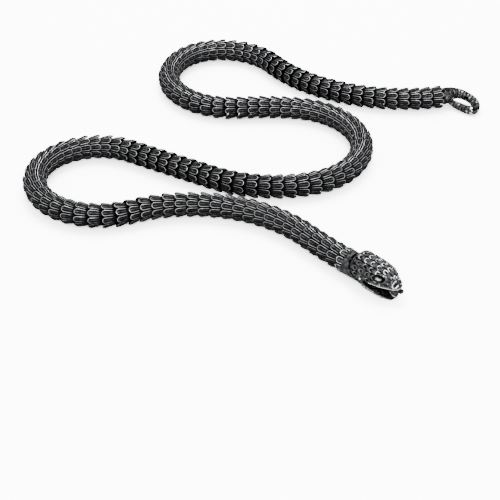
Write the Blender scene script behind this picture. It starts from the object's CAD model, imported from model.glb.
"""Looks of an antiqued steel snake necklace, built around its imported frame.

Lengths are in millimetres while a piece is shaped, in the part's own frame: +Z up, the floor
at z = 0. A finished mesh is scaled to metres, and its object stays at the origin.
"""

import logging
import math
from collections.abc import Callable, Sequence
from dataclasses import dataclass, field
from enum import Enum

import bmesh
import bpy
import numpy as np
from bmesh.types import BMEdge, BMFace, BMLayerItem, BMVert, BMesh
from bpy.types import ID, Material, Mesh, Node, NodeSocket, Object
from mathutils import Matrix, Vector


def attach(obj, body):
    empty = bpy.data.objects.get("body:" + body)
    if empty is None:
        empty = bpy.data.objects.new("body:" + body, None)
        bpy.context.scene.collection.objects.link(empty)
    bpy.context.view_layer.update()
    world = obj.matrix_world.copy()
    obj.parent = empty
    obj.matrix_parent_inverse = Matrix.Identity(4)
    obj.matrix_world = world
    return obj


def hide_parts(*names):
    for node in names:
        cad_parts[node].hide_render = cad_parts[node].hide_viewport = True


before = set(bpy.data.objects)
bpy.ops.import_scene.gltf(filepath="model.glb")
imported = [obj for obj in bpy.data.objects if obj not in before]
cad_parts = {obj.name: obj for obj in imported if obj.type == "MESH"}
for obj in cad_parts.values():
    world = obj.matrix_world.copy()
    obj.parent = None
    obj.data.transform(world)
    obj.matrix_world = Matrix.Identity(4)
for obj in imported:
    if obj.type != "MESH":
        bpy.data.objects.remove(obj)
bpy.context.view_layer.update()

LOG = logging.getLogger("necklace")
MM = 0.001
WORN = "worn"
AXIS_HEIGHT = 4.5
PITCH = 4.375
LINK_COUNT = 122
TURN = 2 * math.pi
NEAR = 1e-5
MERGE = 1e-4
CREASE = 48.0
CAST_CREASE = 75.0
Array = np.ndarray
Span = tuple[float, float]
Profile = tuple[tuple[float, float], ...]
Points = list[BMVert]
Element = BMVert | BMEdge | BMFace


class Slot(Enum):
    """Material slots of the record."""

    HEAD = "head_steel"
    SCALE = "scale_steel"
    TAIL = "tail_steel"
    PIN = "pin_steel"


class Body(Enum):
    """Bodies of the frame that pieces ride on."""

    NECKLACE = "necklace"
    HEAD = "head"


# Soft curves


def hump(x: Array, centre: float, width: float) -> Array:
    """Gives 1 at the centre and a soft fall over the width on both sides."""
    return np.exp(-(((x - centre) / width) ** 2))


def ramp(x: Array, low: float, high: float) -> Array:
    """Gives 0 at low, 1 at high and a smooth rise between them."""
    t = np.clip((x - low) / (high - low), 0, 1)
    return t * t * (3 - 2 * t)


@dataclass(frozen=True)
class Line:
    """A soft line of relief: its middle and half its width, its rise in mm and its wear."""

    middle: float
    width: float
    rise: float = 0.0
    worn: float = 0.0

    def on(self, x: Array) -> Array:
        """Gives 1 in the line's middle and a soft fall on both sides."""
        return hump(x, self.middle, self.width)


# Where things are


def turned(degrees: float, axis: str) -> Matrix:
    """Gives the matrix of a turn about an axis."""
    return Matrix.Rotation(math.radians(degrees), 4, axis)


@dataclass(frozen=True)
class Stretch:
    """One stretch of the chain's route: length in mm, turn and twist in degrees."""

    length: float
    turn: float
    twist: float = 0.0


@dataclass(frozen=True)
class Pose:
    """A point of the route, with the way that the chain heads and its roll, in degrees."""

    x: float
    y: float
    heading: float
    roll: float

    def along(self, run: Stretch, share: float) -> "Pose":
        """Goes along a stretch.

        Args:
            run: the stretch that starts here.
            share: how much of it to go, 1 for all.

        Returns:
            The pose reached.
        """
        turn = run.turn * share
        half = math.radians(turn / 2)
        chord = run.length * share * (math.sin(half) / half if turn else 1.0)
        middle = math.radians(self.heading) + half
        return Pose(
            self.x + chord * math.cos(middle),
            self.y + chord * math.sin(middle),
            self.heading + turn,
            self.roll + run.twist * share,
        )


@dataclass
class Route:
    """The way that the chain lies, from the ball joint behind the head to the tail."""

    start: Pose = Pose(27.62, -68.88, 134.0, -24.0)
    neck_length: float = 10.8
    runs: tuple[Stretch, ...] = (
        Stretch(19, -6),
        Stretch(68, 77, 13),
        Stretch(48, -109, 6),
        Stretch(48, -127, -8),
        Stretch(37, 1, -9),
        Stretch(36, 47, 9),
        Stretch(77, 156, 11),
        Stretch(21, 13, -4),
        Stretch(59, -130, 11),
        Stretch(21, -62, -6),
        Stretch(24, -53),
        Stretch(76, 72, 16),
    )
    joints: list[Pose] = field(init=False)

    def __post_init__(self) -> None:
        """Places every ball joint."""
        self.joints = [self._at(i * PITCH) for i in range(LINK_COUNT + 1)]

    def _at(self, distance: float) -> Pose:
        """Gives a pose on the route.

        Args:
            distance: how far along it, in mm.

        Returns:
            The pose there.
        """
        pose = self.start
        for run in self.runs[:-1]:
            if distance <= run.length:
                return pose.along(run, distance / run.length)
            pose = pose.along(run, 1.0)
            distance -= run.length
        return pose.along(self.runs[-1], distance / self.runs[-1].length)

    def link_place(self, i: int) -> Matrix:
        """Places a link that is drawn along +Z.

        Args:
            i: number of the ball joint that it hangs on.

        Returns:
            The matrix that puts it there.
        """
        here = self.joints[i]
        if i < LINK_COUNT:
            ahead = self.joints[i + 1]
            heading = math.degrees(math.atan2(ahead.y - here.y, ahead.x - here.x))
        else:
            heading = here.heading
        return (
            Matrix.Translation((here.x, here.y, AXIS_HEIGHT))
            @ turned(heading, "Z")
            @ turned(90, "Y")
            @ turned(here.roll, "Z")
        )

    def head_place(self) -> Matrix:
        """Places the head.

        Returns:
            The matrix of its own frame: hinge at x = 0, snout along +X.
        """
        return (
            Matrix.Translation((self.start.x, self.start.y, 0.0))
            @ turned(self.start.heading - 180, "Z")
            @ Matrix.Translation((self.neck_length, 0.0, 0.0))
        )

    def sleeve_place(self) -> Matrix:
        """Places the neck's crown of scales, which is drawn along +Z like a link.

        Returns:
            The matrix that puts it there.
        """
        return (
            self.head_place()
            @ Matrix.Translation((PITCH - self.neck_length, 0.0, AXIS_HEIGHT))
            @ turned(-90, "Y")
            @ turned(self.start.roll, "Z")
        )


# Shader maths and finishes


class Value:
    """A number socket of a shader tree, for use in Python expressions."""

    def __init__(self, shader: "Shader", socket: NodeSocket) -> None:
        """Wraps a socket of the shader's tree."""
        self.shader = shader
        self.socket = socket

    def __add__(self, other: "Value | float") -> "Value":
        """Adds."""
        return self.shader.maths("ADD", self, other)

    def __mul__(self, other: "Value | float") -> "Value":
        """Multiplies."""
        return self.shader.maths("MULTIPLY", self, other)

    def __sub__(self, other: "Value | float") -> "Value":
        """Subtracts."""
        return self.shader.maths("SUBTRACT", self, other)

    def __rsub__(self, other: float) -> "Value":
        """Subtracts this from a number."""
        return self.shader.maths("SUBTRACT", other, self)

    __radd__ = __add__
    __rmul__ = __mul__

    def clamped(self) -> "Value":
        """Keeps the value between 0 and 1."""
        return self.shader.maths("ADD", self, 0.0, clamp=True)


class Shader:
    """Makes the nodes of one material."""

    def __init__(self, name: str) -> None:
        """Starts an empty material.

        Args:
            name: the material's name.
        """
        self.material = bpy.data.materials.new(name)
        self.material.use_nodes = True
        self.tree = self.material.node_tree
        self.tree.nodes.clear()

    def node(
        self,
        kind: str,
        settings: dict[str, object] | None = None,
        inputs: dict[int | str, object] | None = None,
    ) -> Node:
        """Adds a node.

        Args:
            kind: the node's type, without the ShaderNode prefix.
            settings: its properties, which are set first.
            inputs: a number, colour, socket or Value for each named or numbered input.

        Returns:
            The node.
        """
        made = self.tree.nodes.new("ShaderNode" + kind)
        for key, value in (settings or {}).items():
            setattr(made, key, value)
        for key, value in (inputs or {}).items():
            if isinstance(value, Value):
                value = value.socket
            if isinstance(value, NodeSocket):
                self.tree.links.new(value, made.inputs[key])
            else:
                made.inputs[key].default_value = value
        return made

    def maths(self, operation: str, *values: "Value | float", clamp: bool = False) -> Value:
        """Adds a Math node on the values and gives its result."""
        settings = {"operation": operation, "use_clamp": clamp}
        return Value(self, self.node("Math", settings, dict(enumerate(values))).outputs[0])

    def noise(self, scale: float, detail: float, where: NodeSocket) -> Value:
        """Adds noise of so many bumps a metre at the given coordinates."""
        inputs = {"Vector": where, "Scale": scale, "Detail": detail}
        return Value(self, self.node("TexNoise", inputs=inputs).outputs[0])

    def mix(self, factor: Value, low: object, high: object) -> NodeSocket:
        """Mixes two colours and gives the result's socket."""
        made = self.node("Mix", {"data_type": "RGBA"}, {0: factor, 6: low, 7: high})
        return made.outputs[2]

    def finished(self, surface: dict[int | str, object]) -> Material:
        """Adds the surface and ends the material.

        Args:
            surface: a number, colour, socket or Value for each named input of the surface.

        Returns:
            The material.
        """
        skin = self.node("BsdfPrincipled", inputs=surface)
        self.node("OutputMaterial", inputs={"Surface": skin.outputs[0]})
        return self.material

    def between(self, value: Value, low: float, high: float) -> Value:
        """Gives 0 at low, 1 at high and a smooth rise between them."""
        rise = {"interpolation_type": "SMOOTHSTEP"}
        return Value(self, self.node("MapRange", rise, {0: value, 1: low, 2: high}).outputs[0])


def grey(level: float, tint: float = 0.0) -> tuple[float, float, float, float]:
    """Gives a grey colour, a little blue with a tint above 0."""
    return (level * (1 - tint), level, level * (1 + tint), 1.0)


@dataclass(frozen=True)
class AntiquedSteel:
    """Blackened steel whose raised places are rubbed bright."""

    name: str
    recess: float = 0.0003
    face: float = 0.0033
    rim: float = 0.098
    bare: float = 0.55
    rough_recess: float = 0.62
    rough_face: float = 0.4
    rough_rim: float = 0.3
    tint: float = 0.02
    covered: Span = (0.02, 0.4)
    patches: float = 700.0
    patch_detail: float = 4.0
    patch_depth: float = 0.35
    patch_bump: float = 0.4
    grain: float = 5200.0
    grain_detail: float = 3.0
    grain_depth: float = 0.2
    grain_rough: float = 0.14
    glance: float = 0.12
    matt: float = 0.25
    bump: float = 0.25
    bump_depth: float = 0.00006

    def material(self) -> Material:
        """Builds the finish from the mesh's worn attribute and noise on Object coordinates.

        Returns:
            The material.
        """
        shader = Shader(self.name)
        where = shader.node("TexCoord").outputs["Object"]
        worn = Value(shader, shader.node("Attribute", {"attribute_name": WORN}).outputs["Fac"])
        patches = shader.noise(self.patches, self.patch_detail, where)
        grain = shader.noise(self.grain, self.grain_detail, where)
        rub = worn + (patches - 0.5) * self.patch_depth + (grain - 0.5) * self.grain_depth
        rub = rub.clamped()
        on_face = shader.between(rub, *self.covered)
        on_rim = shader.between(rub, self.bare, 1.0)
        dark = shader.mix(on_face, grey(self.recess), grey(self.face, self.tint))
        colour = shader.mix(on_rim, dark, grey(self.rim, self.tint))
        rough = (
            on_face * (self.rough_face - self.rough_recess)
            + on_rim * (self.rough_rim - self.rough_face)
            + self.rough_recess
            + (grain - 0.5) * self.grain_rough
        )
        metal = on_face * self.matt + on_rim * (1 - self.matt)
        height = patches * self.patch_bump + grain * (1 - self.patch_bump)
        relief = {"Strength": self.bump, "Distance": self.bump_depth, "Height": height}
        surface = {
            "Base Color": colour,
            "Metallic": metal,
            "Specular IOR Level": 0.0,
            "Roughness": rough,
            "Specular Tint": grey(self.glance),
            "Normal": shader.node("Bump", inputs=relief).outputs[0],
        }
        return shader.finished(surface)


# Making pieces


def named_worn(bm: BMesh) -> BMLayerItem:
    """Gives the layer of a bmesh that says how bright each point is rubbed."""
    layers = bm.verts.layers.float
    return layers.get(WORN) or layers.new(WORN)


def whole(bm: BMesh) -> list[Element]:
    """Gives every point, edge and face of a bmesh."""
    return bm.verts[:] + bm.edges[:] + bm.faces[:]


def as_mesh(name: str, bm: BMesh) -> Mesh:
    """Turns a bmesh into a mesh, and frees it.

    Args:
        name: the mesh's name.
        bm: its shape.

    Returns:
        The mesh.
    """
    mesh = bpy.data.meshes.new(name)
    bm.to_mesh(mesh)
    bm.free()
    return mesh


def in_scene(name: str, data: ID) -> Object:
    """Puts a mesh, lamp or camera into the scene.

    Args:
        name: the object's name.
        data: the mesh, lamp or camera.

    Returns:
        The object.
    """
    made = bpy.data.objects.new(name, data)
    bpy.context.scene.collection.objects.link(made)
    return made


def as_piece(
    name: str,
    bm: BMesh,
    finish: Material,
    body: Body,
    nodes: Sequence[str],
    crease: float = CREASE,
) -> Object:
    """Turns a bmesh in mm into a finished piece in metres.

    Args:
        name: the piece's name.
        bm: its shape, which is freed.
        finish: its material.
        body: the body that it rides on.
        nodes: the CAD nodes that it stands for.
        crease: angle in degrees over which an edge stays sharp.

    Returns:
        The object.
    """
    bmesh.ops.scale(bm, vec=(MM, MM, MM), verts=bm.verts)
    for face in bm.faces:
        face.smooth = True
    mesh = as_mesh(name, bm)
    mesh.set_sharp_from_angle(angle=math.radians(crease))
    mesh.materials.append(finish)
    piece = in_scene(name, mesh)
    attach(piece, body.value)
    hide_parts(*nodes)
    LOG.info("%s: %d faces", name, len(mesh.polygons))
    return piece


def lathe(bm: BMesh, profile: Profile, sides: int) -> None:
    """Spins a profile of (radius, height) points about Z into a closed shape of the bmesh.

    Args:
        bm: the bmesh that gets the shape.
        profile: its points, from the axis back to the axis.
        sides: number of faces round it.
    """
    rows = [bm.verts.new((r, 0.0, z)) for r, z in profile]
    edges = [bm.edges.new(pair) for pair in zip(rows, rows[1:])]
    bmesh.ops.spin(
        bm,
        geom=rows + edges,
        cent=(0, 0, 0),
        axis=(0, 0, 1),
        dvec=(0, 0, 0),
        angle=TURN,
        steps=sides,
        use_merge=True,
        use_duplicate=False,
    )
    bmesh.ops.remove_doubles(bm, verts=bm.verts, dist=MERGE)
    bmesh.ops.recalc_face_normals(bm, faces=bm.faces)


@dataclass(frozen=True)
class Ring:
    """One step of a scale's section from its edge inwards: inset and rise in mm, and wear."""

    inset: float
    rise: float
    worn: float


@dataclass(frozen=True)
class ScaleCrown:
    """A ring of tongue-shaped scales, each a raised rim round a sunk face with a fine ridge."""

    count: int = 10
    foot_at: float = 0.15
    foot_inside: float = 0.8
    tip_at: float = PITCH + 1
    foot_r: float = 3.15
    tip_r: float = 4.75
    gap_angle: float = 3.0
    tip_points: int = 16
    rings: tuple[Ring, ...] = (
        Ring(0.08, 0.12, 0.6),
        Ring(0.06, 0.04, 1.0),
        Ring(0.11, 0.0, 1.0),
        Ring(0.07, -0.16, 0.0),
        Ring(0.08, 0.0, 0.2),
    )
    edge_worn: float = 0.0
    ridge: float = 0.12
    ridge_half: float = 0.22
    ridge_worn: float = 0.8
    thick: float = 0.58
    belly: float = 0.25
    nose: float = 0.4
    nose_at: float = 0.6
    shaded: Span = (0.0, 0.3)
    foot_worn: float = 0.8

    def _half_width(self) -> float:
        """Gives half the width of a scale at its tip."""
        return self.tip_r * math.radians(180 / self.count - self.gap_angle)

    def _raise_ridge(self, bm: BMesh, face: BMFace) -> None:
        """Cuts the sunk face of a flat scale lengthwise and lifts a fine ridge in its middle.

        Args:
            bm: the bmesh that holds the scale.
            face: the scale's sunk face.
        """
        worn = named_worn(bm)
        middle = [face]
        for x in (-self.ridge_half, 0.0, self.ridge_half):
            edges = {e for f in middle for e in f.edges}
            corners = {v for f in middle for v in f.verts}
            cut = bmesh.ops.bisect_plane(
                bm,
                geom=middle + list(edges) + list(corners),
                dist=NEAR,
                plane_co=(x, 0, 0),
                plane_no=(1, 0, 0),
            )
            middle = [g for g in cut["geom"] if isinstance(g, BMFace)]
            for vert in {v for e in cut["geom_cut"] for v in getattr(e, "verts", [])}:
                vert[worn] = self.rings[-1].worn if x else self.ridge_worn
                vert.co.z += 0.0 if x else self.ridge

    def _flat_scale(self, bm: BMesh) -> None:
        """Makes one scale lying flat: foot at y = 0, tip along +Y, the top of its rim at z = 0.

        Args:
            bm: the bmesh that gets it.
        """
        worn = named_worn(bm)
        half = self._half_width()
        length = self.tip_at - self.foot_at
        made = bmesh.ops.create_circle(bm, cap_ends=True, segments=self.tip_points, radius=half)
        height = sum(ring.rise for ring in self.rings if ring.rise > 0)
        for vert in made["verts"]:
            vert.co.y = vert.co.y + length - half if vert.co.y > -NEAR else 0.0
            vert.co.z = -height
            vert[worn] = self.edge_worn
        foot = [v for v in bm.verts if v.co.y == 0.0]
        spare = [v for v in foot if abs(v.co.x) < self.foot_inside * half]
        bmesh.ops.dissolve_verts(bm, verts=spare)
        top = bm.faces[:][0]
        if top.normal.z < 0:
            bmesh.ops.reverse_faces(bm, faces=[top])
        outline = list(top.edges)
        for ring in self.rings:
            bmesh.ops.inset_individual(
                bm, faces=[top], thickness=ring.inset, depth=ring.rise, use_even_offset=True
            )
            for vert in top.verts:
                vert[worn] = ring.worn
        self._raise_ridge(bm, top)
        walls = bmesh.ops.extrude_edge_only(bm, edges=outline)["geom"]
        low = [g for g in walls if isinstance(g, BMVert)]
        bmesh.ops.translate(bm, verts=low, vec=(0, 0, height - self.thick))
        for vert in low:
            vert[worn] = 0.0
        rim = [e for e in walls if isinstance(e, BMEdge) and e.is_boundary]
        bmesh.ops.contextual_create(bm, geom=rim)
        bmesh.ops.bisect_plane(
            bm,
            geom=whole(bm),
            dist=NEAR,
            plane_co=(0, self.shaded[1] * length, 0),
            plane_no=(0, 1, 0),
        )
        bmesh.ops.recalc_face_normals(bm, faces=bm.faces)

    def build(self, bm: BMesh) -> None:
        """Adds the whole crown to a bmesh, round +Z.

        Args:
            bm: the bmesh that gets it; nothing else may be in it yet.
        """
        self._flat_scale(bm)
        length = self.tip_at - self.foot_at
        turn = math.radians(180 / self.count - self.gap_angle) / self._half_width()
        worn = named_worn(bm)
        for vert in bm.verts:
            x, y, z = vert.co
            share = max(0.0, min(1.0, y / length))
            radius = self.foot_r + (self.tip_r - self.foot_r) * share + z
            radius += self.belly * math.sin(math.pi * share)
            radius -= self.nose * (max(0.0, share - self.nose_at) / (1 - self.nose_at)) ** 2
            vert.co = (radius * math.cos(turn * x), radius * math.sin(turn * x), self.foot_at + y)
            rubbed = self.foot_worn + (1 - self.foot_worn) * share
            vert[worn] *= float(ramp(share, *self.shaded)) * rubbed
        bmesh.ops.recalc_face_normals(bm, faces=bm.faces)
        bmesh.ops.spin(
            bm,
            geom=whole(bm),
            cent=(0, 0, 0),
            axis=(0, 0, 1),
            dvec=(0, 0, 0),
            angle=TURN * (self.count - 1) / self.count,
            steps=self.count - 1,
            use_merge=False,
            use_duplicate=True,
        )


SOCKET: Profile = (
    (0.0, 2.56),
    (1.35, 3.15),
    (1.82, 4.38),
    (1.36, 5.47),
    (2.1, 5.47),
    (2.4, 4.38),
    (2.05, 3.13),
)


@dataclass(frozen=True)
class ChainLink:
    """One loose link: a ball in front, a crown of scales, and behind it the next ball's socket."""

    crown: ScaleCrown = ScaleCrown()
    sides: int = 16
    profile: Profile = SOCKET + (
        (3.1, 2.9),
        (3.5, 3.85),
        (4.1, 3.93),
        (3.2, 0.9),
        (2.4, 0.9),
        (1.9, 1.72),
        (0.9, 1.72),
        (0.9, 1.44),
        (1.45, 0.88),
        (1.7, 0.0),
        (1.2, -1.2),
        (0.0, -1.7),
    )

    def mesh(self) -> Mesh:
        """Builds the link along +Z, its own ball joint at the origin.

        Returns:
            The mesh, in mm.
        """
        bm = bmesh.new()
        self.crown.build(bm)
        core = bmesh.new()
        lathe(core, self.profile, self.sides)
        named_worn(core)
        shape = as_mesh("link_core", core)
        bm.from_mesh(shape)
        bpy.data.meshes.remove(shape)
        return as_mesh("link", bm)


@dataclass
class Chain:
    """A run of loose links of the chain, made as one piece."""

    route: Route
    finish: Material
    link: ChainLink = ChainLink()
    worn_below: float = 0.73
    worn_heights: Span = (3.0, 7.0)

    def build(self, name: str, node: str, first: int, last: int) -> Object:
        """Builds the links from first to last.

        Args:
            name: the piece's name.
            node: the CAD node that it stands for.
            first: number of its first link.
            last: number of its last link.

        Returns:
            The object.
        """
        shape = self.link.mesh()
        bm = bmesh.new()
        for i in range(first, last + 1):
            before = len(bm.verts)
            bm.from_mesh(shape)
            bm.verts.ensure_lookup_table()
            bmesh.ops.transform(bm, matrix=self.route.link_place(i), verts=bm.verts[before:])
        bpy.data.meshes.remove(shape)
        worn = named_worn(bm)
        for vert in bm.verts:
            above = float(ramp(vert.co.z, *self.worn_heights))
            vert[worn] *= self.worn_below + (1 - self.worn_below) * above
        return as_piece(name, bm, self.finish, Body.NECKLACE, [node])


# Cast relief


@dataclass(frozen=True)
class CastScales:
    """Low relief of overlapping scales, rounded at their free ends, in rows and columns.

    The three numbers of lot give each scale a shade of its own, by its row and column.
    """

    wide: float = 2.0
    pitch: float = 2.65
    overlap: float = 0.2
    fill: float = 0.41
    rim: float = 0.24
    stagger: float = 0.0
    shift: float = 0.4
    shift_turn: float = 2.4
    variation: float = 0.3
    lot: tuple[float, float, float] = (12.9898, 78.233, 437.585)
    ridge: Line = Line(0.0, 0.15, 0.3, 0.1)
    ridge_end: float = 0.2
    foot_rise: float = -0.7
    slope: float = 0.6
    rim_rise: float = 1.1
    arc: Span = (-1.1, -0.1)
    arc_worn: float = 0.75
    side_worn: float = -0.12
    face_worn: float = 0.3
    pit: Line = Line(2.4, 1.1, worn=-0.27)

    def at(self, across: Array, along: Array) -> tuple[Array, Array]:
        """Works out the relief at points of a surface.

        Args:
            across: place across the columns, in columns.
            along: place towards the free ends, in mm.

        Returns:
            Height from -1 in the gaps to 1 on the rims, and how bright each point is rubbed.
        """
        height = np.full(across.shape, -1.0)
        bright = np.zeros(across.shape)
        along = along + self.shift * np.sin(self.shift_turn * np.round(across))
        row = np.floor(along / self.pitch)
        half = self.fill * self.wide
        length = self.pitch * (1 + self.overlap)
        for step in (0, 1):
            here = row - step
            side = across - self.stagger * np.mod(here, 2)
            u = (side - np.round(side)) * self.wide
            v = along - here * self.pitch - (length - half)
            inside = half - np.where(v > 0, np.hypot(u, v), np.abs(u))
            covers = (inside > 0) & (v < half)
            rim = hump(inside, self.rim / 2, self.rim * 0.6)
            ridge = self.ridge.on(u) * (v < half * self.ridge_end)
            share = (along - here * self.pitch) / length
            arc = ramp(v / half, *self.arc)
            level = self.foot_rise + self.slope * share + self.rim_rise * rim * share
            level += self.ridge.rise * ridge
            lustre = self.face_worn + self.pit.worn * arc * self.pit.on(inside / self.rim)
            lustre += rim * (self.arc_worn * arc + self.side_worn * (1 - arc))
            lustre += self.ridge.worn * ridge
            lot = np.sin(here * self.lot[0] + np.round(side) * self.lot[1])
            lot = np.abs(lot) * self.lot[2]
            lustre = lustre * (1 - self.variation * (lot - np.floor(lot)))
            height = np.where(covers, level, height)
            bright = np.where(covers, lustre, bright)
        return height, bright


def remeshed(
    node: str, place: Matrix, voxel: float, rounds: int, cut: float | None = None
) -> Object:
    """Copies a CAD node, in the frame of the head and in mm, as an even skin of small faces.

    Args:
        node: the CAD node.
        place: the matrix of the head's frame, in mm.
        voxel: size of the small faces in mm.
        rounds: rounds of smoothing.
        cut: where the copy ends behind, along the head, or None.

    Returns:
        A loose object that holds the skin.
    """
    bm = bmesh.new()
    bm.from_mesh(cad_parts[node].data)
    bmesh.ops.remove_doubles(bm, verts=bm.verts, dist=MERGE * MM)
    bmesh.ops.transform(bm, matrix=place.inverted() @ Matrix.Scale(1 / MM, 4), verts=bm.verts)
    if cut is not None:
        bmesh.ops.bisect_plane(
            bm,
            geom=whole(bm),
            plane_co=(cut, 0, 0),
            plane_no=(-1, 0, 0),
            clear_outer=True,
        )
        bmesh.ops.holes_fill(bm, edges=[e for e in bm.edges if e.is_boundary])
    mesh = as_mesh(node + "_skin", bm)
    skin = in_scene(node + "_skin", mesh)
    remesh = skin.modifiers.new("even", "REMESH")
    remesh.mode = "VOXEL"
    remesh.voxel_size = voxel
    smooth = skin.modifiers.new("soft", "SMOOTH")
    smooth.factor = 0.5
    smooth.iterations = rounds
    smoothed = skin.evaluated_get(bpy.context.evaluated_depsgraph_get())
    shape = bpy.data.meshes.new_from_object(smoothed)
    skin.modifiers.clear()
    skin.data = shape
    bpy.data.meshes.remove(mesh)
    return skin


@dataclass
class Relief:
    """A skin of the head, with its relief in mm and wear so far, and 1 where it is outside."""

    points: Array
    normals: Array
    outside: float | Array = 1.0

    def __post_init__(self) -> None:
        """Splits the points into along, across and up the head, and starts flat and black."""
        self.a, self.b, self.c = self.points.T
        self.lift, self.wear = np.zeros((2, len(self.points)))

    def draw(self, line: Line, where: Array, x: Array) -> None:
        """Adds a line to the relief and the wear.

        Args:
            line: the line.
            where: how much of it each point gets.
            x: what its middle and width are measured on.
        """
        share = where * line.on(x)
        self.lift += line.rise * share
        self.wear += line.worn * share


def sculpted(loose: Object, sculptor: Callable[[Relief], None]) -> BMesh:
    """Moves each point of a skin along its normal, stores its wear, and removes the skin.

    Args:
        loose: the object that holds the skin.
        sculptor: what works out the relief and the wear of the skin.

    Returns:
        The shape as a bmesh.
    """
    mesh = loose.data
    skin = Relief(*np.empty((2, len(mesh.vertices), 3)))
    mesh.vertices.foreach_get("co", skin.points.ravel())
    mesh.vertex_normals.foreach_get("vector", skin.normals.ravel())
    sculptor(skin)
    moved = skin.points + skin.normals * skin.lift[:, None]
    mesh.vertices.foreach_set("co", moved.ravel())
    layer = mesh.attributes.new(WORN, "FLOAT", "POINT")
    layer.data.foreach_set("value", np.clip(skin.wear, 0, 1))
    bm = bmesh.new()
    bm.from_mesh(mesh)
    bpy.data.objects.remove(loose)
    bpy.data.meshes.remove(mesh)
    return bm


@dataclass
class UpperHead:
    """The upper head: cast scales in columns, eyes in dark rings, and a bright lip.

    A pair of numbers with from or to in its name says where something fades in or out.
    """

    route: Route
    finish: Material
    voxel: float = 0.11
    rounds: int = 6
    centre: float = 5.2
    middle: float = 3.0
    end_turn: float = 0.3
    facing_from: Span = (0.3, 1.6)
    hollow_r: float = 4.97
    hollow_front: float = -1.5
    under_lip: float = 0.05
    columns: int = 18
    scales: CastScales = CastScales()
    first_row: float = 29.27
    relief: float = 0.15
    scales_from: Span = (-5.4, -4.9)
    scales_to: Span = (12.2, 12.9)
    over_edge_from: Span = (0.25, 0.6)
    ground_worn: float = 0.2
    bare_worn: float = 0.02
    shine: float = 0.72
    crown_shine: float = 0.22
    crown_to: Span = (27.0, 42.0)
    brow_shine: float = 0.38
    brow_from: Span = (3.5, 5.0)
    brow_to: Span = (48.0, 62.0)
    groove: Line = Line(0.0, 0.15, -0.2)
    groove_angle: float = 31.0
    groove_r: float = 5.8
    groove_from: Span = (-5.0, -4.4)
    groove_to: Span = (4.0, 4.8)
    eye: tuple[float, float] = (6.95, 7.95)
    eye_long: float = 1.42
    eye_high: float = 0.8
    eye_inside: float = 1.5
    socket_to: Span = (1.5, 1.75)
    eye_lines: tuple[Line, ...] = (
        Line(1.2, 0.2, rise=-0.4),
        Line(1.6, 0.14, rise=0.16),
        Line(1.62, 0.12, worn=0.4),
    )
    ball_to: Span = (0.7, 0.95)
    ball_worn: float = 0.42
    ball_glint: Line = Line(0.0, 0.45, worn=0.5)
    lip: float = 5.15
    lip_line: Line = Line(0.18, 0.2, 0.09, 0.6)
    lip_from: Span = (2.4, 4.0)
    nostril: tuple[float, float, float] = (10.4, 2.3, 7.5)
    nostril_pit: Line = Line(0.0, 0.36, rise=-0.3)
    nostril_dark: Line = Line(0.0, 0.5)
    nasal: tuple[float, float] = (12.1, 7.0)
    nasal_long: float = 0.62
    nasal_high: float = 1.15
    nasal_inside: float = 0.6
    nasal_lines: tuple[Line, ...] = (Line(1.0, 0.22, 0.12, 0.8), Line(0.0, 0.6, worn=-0.24))
    chin_from: float = 8.0
    chin_slope: float = 0.94
    chin_line: Line = Line(13.3, 0.3, worn=0.75)
    rim_centre: tuple[float, float] = (0.8, 10.6)
    rim_radius: float = 6.5
    rim_front: float = 1.2
    rim_line: Line = Line(0.14, 0.14, worn=0.1)
    off_rim: float = 9.0

    def _outside(self, skin: Relief) -> Array:
        """Tells the outer skin of the head from its underside and inner walls.

        Args:
            skin: the head's skin.

        Returns:
            1 on the outer skin and 0 elsewhere, with a soft change.
        """
        ahead, aside, up = skin.normals.T
        facing = aside * skin.b + up * (skin.c - self.centre)
        facing += ahead * (skin.a - self.middle) * self.end_turn
        hollow = np.hypot(skin.b, skin.c - AXIS_HEIGHT) < self.hollow_r
        hollow &= skin.a < self.hollow_front
        under = (skin.c < self.lip + self.under_lip) & (up < -0.5)
        return ramp(facing, *self.facing_from) * ~hollow * ~under

    def _border(self, skin: Relief) -> Array:
        """Measures how far points of the cheek are from its rim behind.

        Args:
            skin: the head's skin.

        Returns:
            The distance in mm, and off_rim off the cheek.
        """
        along, up = self.rim_centre
        back = self.rim_radius - np.hypot(skin.a - along, skin.c - up)
        return np.where((skin.a < self.rim_front) & (skin.c < up), back, self.off_rim)

    def _aside(self, skin: Relief) -> Array:
        """Gives how far round the head points are from the middle of its top, in degrees."""
        return np.abs(np.degrees(np.arctan2(skin.b, skin.c - self.centre)))

    def _scales(self, skin: Relief) -> None:
        """Covers the skin with scales, brightest on the crown and the brow.

        Args:
            skin: the head's skin, which is changed.
        """
        column = np.arctan2(skin.b, skin.c - self.centre) / TURN * self.columns
        height, bright = self.scales.at(column, self.first_row - skin.a)
        keep = skin.outside * ramp(skin.a, *self.scales_from)
        keep = keep * (1 - ramp(skin.a, *self.scales_to))
        keep *= ramp(skin.c - self.lip, *self.over_edge_from)
        keep *= ramp(self._border(skin), *self.over_edge_from)
        aside = self._aside(skin)
        crown = 1 - ramp(aside, *self.crown_to)
        brow = ramp(skin.a, *self.brow_from) * (1 - ramp(aside, *self.brow_to))
        shine = self.shine + np.maximum(self.crown_shine * crown, self.brow_shine * brow)
        skin.lift += self.relief * height * keep
        skin.wear += self.ground_worn + (bright * shine - self.ground_worn) * keep

    def _grooves(self, skin: Relief) -> None:
        """Cuts a dark groove along each side of the crown.

        Args:
            skin: the head's skin, which is changed.
        """
        away = np.radians(self._aside(skin) - self.groove_angle) * self.groove_r
        line = self.groove.on(away)
        line = line * skin.outside * ramp(skin.a, *self.groove_from)
        line *= 1 - ramp(skin.a, *self.groove_to)
        skin.lift += self.groove.rise * line
        skin.wear *= 1 - line

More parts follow.
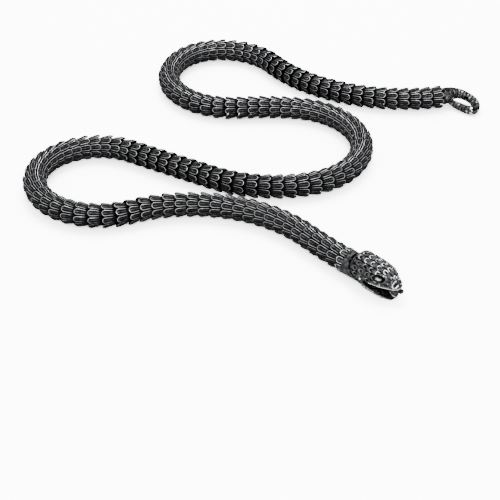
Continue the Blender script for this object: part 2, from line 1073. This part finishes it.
    def _eyes(self, skin: Relief) -> None:
        """Sinks a dark ring round each eye, with a bright ball in it and a low ring round it.

        Args:
            skin: the head's skin, which is changed.
        """
        across = (skin.a - self.eye[0]) / self.eye_long
        up = (skin.c - self.eye[1]) / self.eye_high
        away = np.hypot(across, up)
        near = skin.outside * (np.abs(skin.b) > self.eye_inside)
        clear = 1 - near * (1 - ramp(away, *self.socket_to))
        skin.lift *= clear
        skin.wear *= clear
        for line in self.eye_lines:
            skin.draw(line, near, away)
        ball = near * (1 - ramp(away, *self.ball_to))
        skin.wear += self.ball_worn * ball
        skin.draw(self.ball_glint, ball, away)

    def _mouth(self, skin: Relief) -> None:
        """Gives the head its bright lip, nostrils, cheek's rim, chin and rings on the snout.

        Args:
            skin: the head's skin, which is changed.
        """
        front = skin.outside * ramp(skin.a, *self.lip_from)
        skin.draw(self.lip_line, front, skin.c - self.lip)
        places = np.array((skin.a, np.abs(skin.b), skin.c)).T
        hole = np.linalg.norm(places - self.nostril, axis=1)
        skin.draw(self.nostril_pit, skin.outside, hole)
        skin.wear *= 1 - self.nostril_dark.on(hole)
        skin.draw(self.rim_line, skin.outside, self._border(skin))
        chin = (skin.c < self.lip) & (skin.a > self.chin_from)
        edge = self.chin_line.on(skin.a + self.chin_slope * skin.c)
        skin.wear = np.where(chin, self.ground_worn + self.chin_line.worn * edge, skin.wear)
        across = (skin.a - self.nasal[0]) / self.nasal_long
        up = (skin.c - self.nasal[1]) / self.nasal_high
        beside = skin.outside * (np.abs(skin.b) > self.nasal_inside)
        for line in self.nasal_lines:
            skin.draw(line, beside, np.hypot(across, up))

    def _sculpt(self, skin: Relief) -> None:
        """Works out the relief and wear of the head's skin.

        Args:
            skin: the head's skin, which is changed.
        """
        skin.outside = self._outside(skin)
        for feature in (self._scales, self._grooves, self._eyes, self._mouth):
            feature(skin)
        skin.wear = skin.wear * skin.outside + self.bare_worn

    def build(self) -> Object:
        """Builds the upper head, riding on its own body.

        Returns:
            The piece.
        """
        place = self.route.head_place()
        skin = remeshed("upper_head", place, self.voxel, self.rounds)
        bm = sculpted(skin, self._sculpt)
        bmesh.ops.transform(bm, matrix=place, verts=bm.verts)
        nodes = ["upper_head"]
        return as_piece("upper_head_cast", bm, self.finish, Body.HEAD, nodes, CAST_CREASE)


@dataclass
class LowerJaw:
    """The jaw, the smooth neck sleeve and the crown of scales cast on its back end."""

    route: Route
    finish: Material
    voxel: float = 0.12
    rounds: int = 5
    cut_at: float = -9.2
    hidden_r: float = 4.12
    hidden_along: Span = (-7.0, 1.4)
    hidden_floor: float = 1.9
    palate_from: float = -1.0
    palate_height: float = 3.2
    seam_centre: tuple[float, float] = (0.8, 10.6)
    seam_radius: float = 7.0
    seam_widening: float = 0.08
    seam_depth: float = 0.15
    seam_to: Span = (0.9, 1.2)
    seam_front: Span = (-1.6, -0.8)
    facing_from: Span = (0.1, 0.8)
    jaw_from: Span = (-0.5, 1.0)
    inner_worn: float = 0.04
    sleeve_worn: float = 0.22
    jaw_worn: float = 0.4
    crown_worn: float = 0.82
    crown: ScaleCrown = ScaleCrown(foot_at=1.8, foot_r=4.22, tip_r=4.6, belly=0.1, nose=0.2)
    profile: Profile = SOCKET + (
        (3.5, 2.9),
        (3.7, 3.85),
        (4.12, 3.93),
        (4.0, 2.8),
        (0.0, 2.8),
    )

    def _sculpt(self, skin: Relief) -> None:
        """Leaves the jaw and sleeve smooth, rubbed outside and black on the inner faces.

        Args:
            skin: the jaw's skin, which is changed.
        """
        a, b, c = skin.points.T
        upward = skin.normals[:, 2]
        radius = np.maximum(np.hypot(b, c - AXIS_HEIGHT), 0.1)
        outward = (skin.normals[:, 1] * b + upward * (c - AXIS_HEIGHT)) / radius
        low, high = self.hidden_along
        inner = (a > low) & (a < high) & (c > self.hidden_floor) & (radius < self.hidden_r)
        palate = (a > self.palate_from) & (c < self.palate_height) & (upward > 0.4)
        rubbed = self.sleeve_worn + self.jaw_worn * ramp(a, *self.jaw_from)
        wear = self.inner_worn + rubbed * ramp(outward, *self.facing_from) * ~inner * ~palate
        seam = np.hypot(a - self.seam_centre[0], c - self.seam_centre[1]) - self.seam_radius
        seam -= self.seam_widening * (self.seam_centre[1] - c)
        beside = (1 - ramp(seam, *self.seam_to)) * (1 - ramp(a, *self.seam_front))
        skin.lift = -self.seam_depth * beside * (outward > 0.5)
        skin.wear = wear * (1 - beside)

    def build(self) -> Object:
        """Builds the jaw piece, riding with the necklace.

        Returns:
            The piece.
        """
        place = self.route.head_place()
        skin = remeshed("lower_jaw", place, self.voxel, self.rounds, self.cut_at)
        bm = sculpted(skin, self._sculpt)
        bmesh.ops.transform(bm, matrix=place, verts=bm.verts)
        before = len(bm.verts)
        link = ChainLink(crown=self.crown, profile=self.profile).mesh()
        bm.from_mesh(link)
        bm.verts.ensure_lookup_table()
        bmesh.ops.transform(bm, matrix=self.route.sleeve_place(), verts=bm.verts[before:])
        bpy.data.meshes.remove(link)
        worn = named_worn(bm)
        for vert in bm.verts[before:]:
            vert[worn] *= self.crown_worn
        nodes = ["lower_jaw"]
        return as_piece(
            "lower_jaw_cast", bm, self.finish, Body.NECKLACE, nodes, CAST_CREASE
        )


@dataclass
class HingePin:
    """The polished pin through both cheeks, with rounded ends."""

    route: Route
    finish: Material
    radius: float = 0.6
    length: float = 10.2
    height: float = 5.0
    sides: int = 24
    rounding: float = 0.16
    rounding_steps: int = 3
    inset: float = 0.12
    mark_width: float = 0.55
    worn: float = 0.25

    def build(self) -> Object:
        """Builds the pin, riding with the necklace.

        Returns:
            The piece.
        """
        bm = bmesh.new()
        bmesh.ops.create_cone(
            bm,
            cap_ends=True,
            segments=self.sides,
            radius1=self.radius,
            radius2=self.radius,
            depth=self.length,
        )
        ends = [e for e in bm.edges if abs(e.verts[0].co.z - e.verts[1].co.z) < NEAR]
        bmesh.ops.bevel(
            bm,
            geom=ends,
            offset=self.rounding,
            offset_type="OFFSET",
            affect="EDGES",
            segments=self.rounding_steps,
            profile=0.5,
            material=-1,
        )
        worn = named_worn(bm)
        for vert in bm.verts:
            vert[worn] = self.worn
        caps = [f for f in bm.faces if abs(f.normal.z) > 0.9 and len(f.verts) > 4]
        bmesh.ops.inset_individual(bm, faces=caps, thickness=self.inset, use_even_offset=True)
        for vert in {v for f in caps for v in f.verts}:
            vert.co.x *= self.mark_width
            vert[worn] = 1.0
        place = (
            self.route.head_place()
            @ Matrix.Translation((0, 0, self.height))
            @ turned(90, "X")
        )
        bmesh.ops.transform(bm, matrix=place, verts=bm.verts)
        return as_piece("hinge_pin_turned", bm, self.finish, Body.NECKLACE, ["hinge_pin"])


@dataclass
class Tail:
    """The tail: a ball in the last socket, then a tapering body curled round to its own root."""

    route: Route
    finish: Material
    rows: tuple[tuple[float, float, float, float], ...] = (
        (1.4, 0, 0, 2.9),
        (2.2, 0.05, 0, 3.2),
        (4.2, 0.9, 0.1, 3),
        (6.9, 1.3, 0.1, 2.35),
        (9.5, 0.5, -0.2, 1.95),
        (11.9, -1.6, -0.9, 1.8),
        (13.4, -4.1, -1.7, 1.75),
        (13.1, -6.9, -2.3, 1.75),
        (11.3, -8.7, -2.7, 1.7),
        (9.4, -7.5, -2.75, 1.65),
        (7.8, -5.5, -2.65, 1.55),
        (6.1, -3.6, -2.3, 1.4),
        (4.6, -1.8, -1.8, 1.2),
        (3.7, -0.6, -1.4, 1),
    )
    steps: int = 15
    sides: int = 48
    columns: int = 9
    scales: CastScales = CastScales(
        1.08, 1.35, 0.35, rim=0.26, stagger=0.5, shift=0.0, variation=0.85
    )
    first_row: float = 40.0
    relief: float = 0.11
    sunk: float = 0.03
    fade_in: float = 1.5
    end_relief: float = 0.2
    ball: float = 1.7
    ball_sides: int = 24
    stem: float = 0.9
    stem_long: float = 1.4
    stem_at: float = 0.9
    stem_sides: int = 16

    def _curve(self, i: int, t: float) -> Array:
        """Follows the smooth curve through the rows.

        Args:
            i: number of the row before the point.
            t: how far on to the next row it is, 1 for all.

        Returns:
            The place and radius there.
        """
        rows = np.array(self.rows, float)
        last = len(rows) - 1
        a, b = rows[max(i - 1, 0)], rows[i]
        c, d = rows[min(i + 1, last)], rows[min(i + 2, last)]
        return 0.5 * (
            2 * b
            + (c - a) * t
            + (2 * a - 5 * b + 4 * c - d) * t * t
            + (3 * b - a - 3 * c + d) * t**3
        )

    def _path(self) -> Array:
        """Gives the place and radius of every ring of the body, from its root to its tip."""
        places = [divmod(k, self.steps) for k in range((len(self.rows) - 1) * self.steps + 1)]
        return np.array([self._curve(i, part / self.steps) for i, part in places])

    def _body(self, bm: BMesh) -> None:
        """Extrudes the tapering body ring by ring along its curve, with its scales.

        Args:
            bm: the bmesh that gets it; nothing else may be in it yet.
        """
        path = self._path()
        gone = np.r_[0, np.cumsum(np.linalg.norm(np.diff(path[:, :3], axis=0), axis=1))]
        worn = named_worn(bm)
        ring = bmesh.ops.create_circle(bm, cap_ends=True, segments=self.sides, radius=1.0)["verts"]
        turns = [TURN * k / self.sides for k in range(self.sides)]
        across = np.array(turns) / TURN * self.columns
        edges = bm.edges[:]
        for i, station in enumerate(path):
            ahead = path[min(i + 1, len(path) - 1), :3] - path[max(i - 1, 0), :3]
            forward = Vector(ahead).normalized()
            side = Vector((0, 0, 1)).cross(forward).normalized()
            top = forward.cross(side)
            if i:
                made = bmesh.ops.extrude_edge_only(bm, edges=edges)["geom"]
                edges = [g for g in made if isinstance(g, BMEdge) and g.is_boundary]
                ring = self._paired(ring, [g for g in made if isinstance(g, BMVert)])
            along = np.full(self.sides, self.first_row - gone[i])
            height, bright = self.scales.at(across, along)
            fade = min(1.0, gone[i] / self.fade_in, gone[-1] - gone[i] + self.end_relief)
            for k, vert in enumerate(ring):
                radius = float(station[3] - self.sunk + self.relief * height[k] * fade)
                outwards = side * math.cos(turns[k]) + top * math.sin(turns[k])
                vert.co = Vector(station[:3]) + radius * outwards
                vert[worn] = bright[k]
        bmesh.ops.contextual_create(bm, geom=edges)
        bmesh.ops.recalc_face_normals(bm, faces=bm.faces)

    def _root(self, bm: BMesh) -> None:
        """Adds the ball that sits in the last socket, on a short stem.

        Args:
            bm: the bmesh that gets it.
        """
        worn = named_worn(bm)
        ball = bmesh.ops.create_uvsphere(
            bm, u_segments=self.ball_sides, v_segments=self.ball_sides // 2, radius=self.ball
        )
        stem = bmesh.ops.create_cone(
            bm,
            cap_ends=True,
            segments=self.stem_sides,
            radius1=self.stem,
            radius2=self.stem,
            depth=self.stem_long,
            matrix=Matrix.Translation((self.stem_at, 0, 0)) @ turned(90, "Y"),
        )
        for vert in ball["verts"] + stem["verts"]:
            vert[worn] = 0.0

    def build(self) -> Object:
        """Builds the tail, riding with the necklace.

        Returns:
            The piece.
        """
        bm = bmesh.new()
        self._body(bm)
        self._root(bm)
        end = self.route.joints[-1]
        place = Matrix.Translation((end.x, end.y, AXIS_HEIGHT)) @ turned(end.heading, "Z")
        bmesh.ops.transform(bm, matrix=place, verts=bm.verts)
        nodes = ["tail_loop"]
        return as_piece("tail_curl", bm, self.finish, Body.NECKLACE, nodes, CAST_CREASE)

    @staticmethod
    def _paired(ring: Points, fresh: Points) -> Points:
        """Orders the points of a new ring as those that they were extruded from."""
        new = set(fresh)
        return [next(e.other_vert(v) for e in v.link_edges if e.other_vert(v) in new) for v in ring]


# Studio


@dataclass(frozen=True)
class Lamp:
    """A square soft light that faces the middle of the floor: place and side in m, watts."""

    name: str
    at: tuple[float, float, float]
    size: float
    power: float

    def build(self) -> None:
        """Hangs the light."""
        data = bpy.data.lights.new(self.name, "AREA")
        data.size = self.size
        data.energy = self.power
        lamp = in_scene(self.name, data)
        lamp.location = self.at
        lamp.rotation_euler = (-Vector(self.at)).to_track_quat("-Z", "Y").to_euler()


@dataclass
class Studio:
    """Pale floor, soft light and the camera at the photograph's angle."""

    eye: tuple[float, float, float] = (-4.28, -463.48, 284.82)
    pitch: float = 35.0
    lens: float = 104.78
    sensor: float = 36.0
    floor: float = 0.86
    floor_rough: float = 0.9
    floor_gloss: float = 0.1
    sky: float = 7.5
    size: float = 6.0
    lamps: tuple[Lamp, ...] = (
        Lamp("key", (0.0, 0.35, 0.8), 0.5, 46.0),
        Lamp("card", (0.0, -0.75, 0.62), 0.3, 32.0),
    )

    def _floor(self) -> None:
        """Lays the plain pale floor."""
        bm = bmesh.new()
        bmesh.ops.create_grid(bm, x_segments=1, y_segments=1, size=self.size)
        mesh = as_mesh("floor", bm)
        shader = Shader("pale_floor")
        surface = {
            "Base Color": grey(self.floor),
            "Roughness": self.floor_rough,
            "Specular IOR Level": self.floor_gloss,
        }
        mesh.materials.append(shader.finished(surface))
        in_scene("floor", mesh)

    def _camera(self) -> None:
        """Sets up the camera."""
        data = bpy.data.cameras.new("camera")
        data.lens = self.lens
        data.sensor_width = self.sensor
        data.clip_start = 0.01
        camera = in_scene("camera", data)
        camera.location = [v * MM for v in self.eye]
        camera.rotation_euler = (math.radians(90 - self.pitch), 0, 0)
        bpy.context.scene.camera = camera

    def build(self) -> None:
        """Builds the whole studio."""
        self._camera()
        self._floor()
        world = bpy.data.worlds.new("studio")
        world.use_nodes = True
        back = world.node_tree.nodes["Background"]
        back.inputs["Color"].default_value = grey(1.0)
        back.inputs["Strength"].default_value = self.sky
        bpy.context.scene.world = world
        for lamp in self.lamps:
            lamp.build()


def main() -> None:
    """Builds every piece in order and reports each."""
    logging.basicConfig(level=logging.INFO, format="%(name)s: %(message)s")
    Studio().build()
    route = Route()
    scale_steel = AntiquedSteel("scale_steel", patches=900, patch_depth=0.55).material()
    head_steel = AntiquedSteel(
        "head_steel", face=0.014, rim=0.3, patches=1300, patch_depth=1.0
    ).material()
    tail_steel = AntiquedSteel(
        "tail_steel", face=0.0125, rim=0.42, patches=1100, patch_depth=0.9
    ).material()
    pin_steel = AntiquedSteel("pin_steel", face=0.01, rim=0.35, patch_depth=0.1).material()
    chain = Chain(route, scale_steel)
    half = LINK_COUNT // 2
    chain.build("chain_front_links", "chain_front", 0, half - 1)
    chain.build("chain_back_links", "chain_back", half, LINK_COUNT - 1)
    UpperHead(route, head_steel).build()
    LowerJaw(route, head_steel).build()
    HingePin(route, pin_steel).build()
    Tail(route, tail_steel).build()


if __name__ == "__main__":
    main()
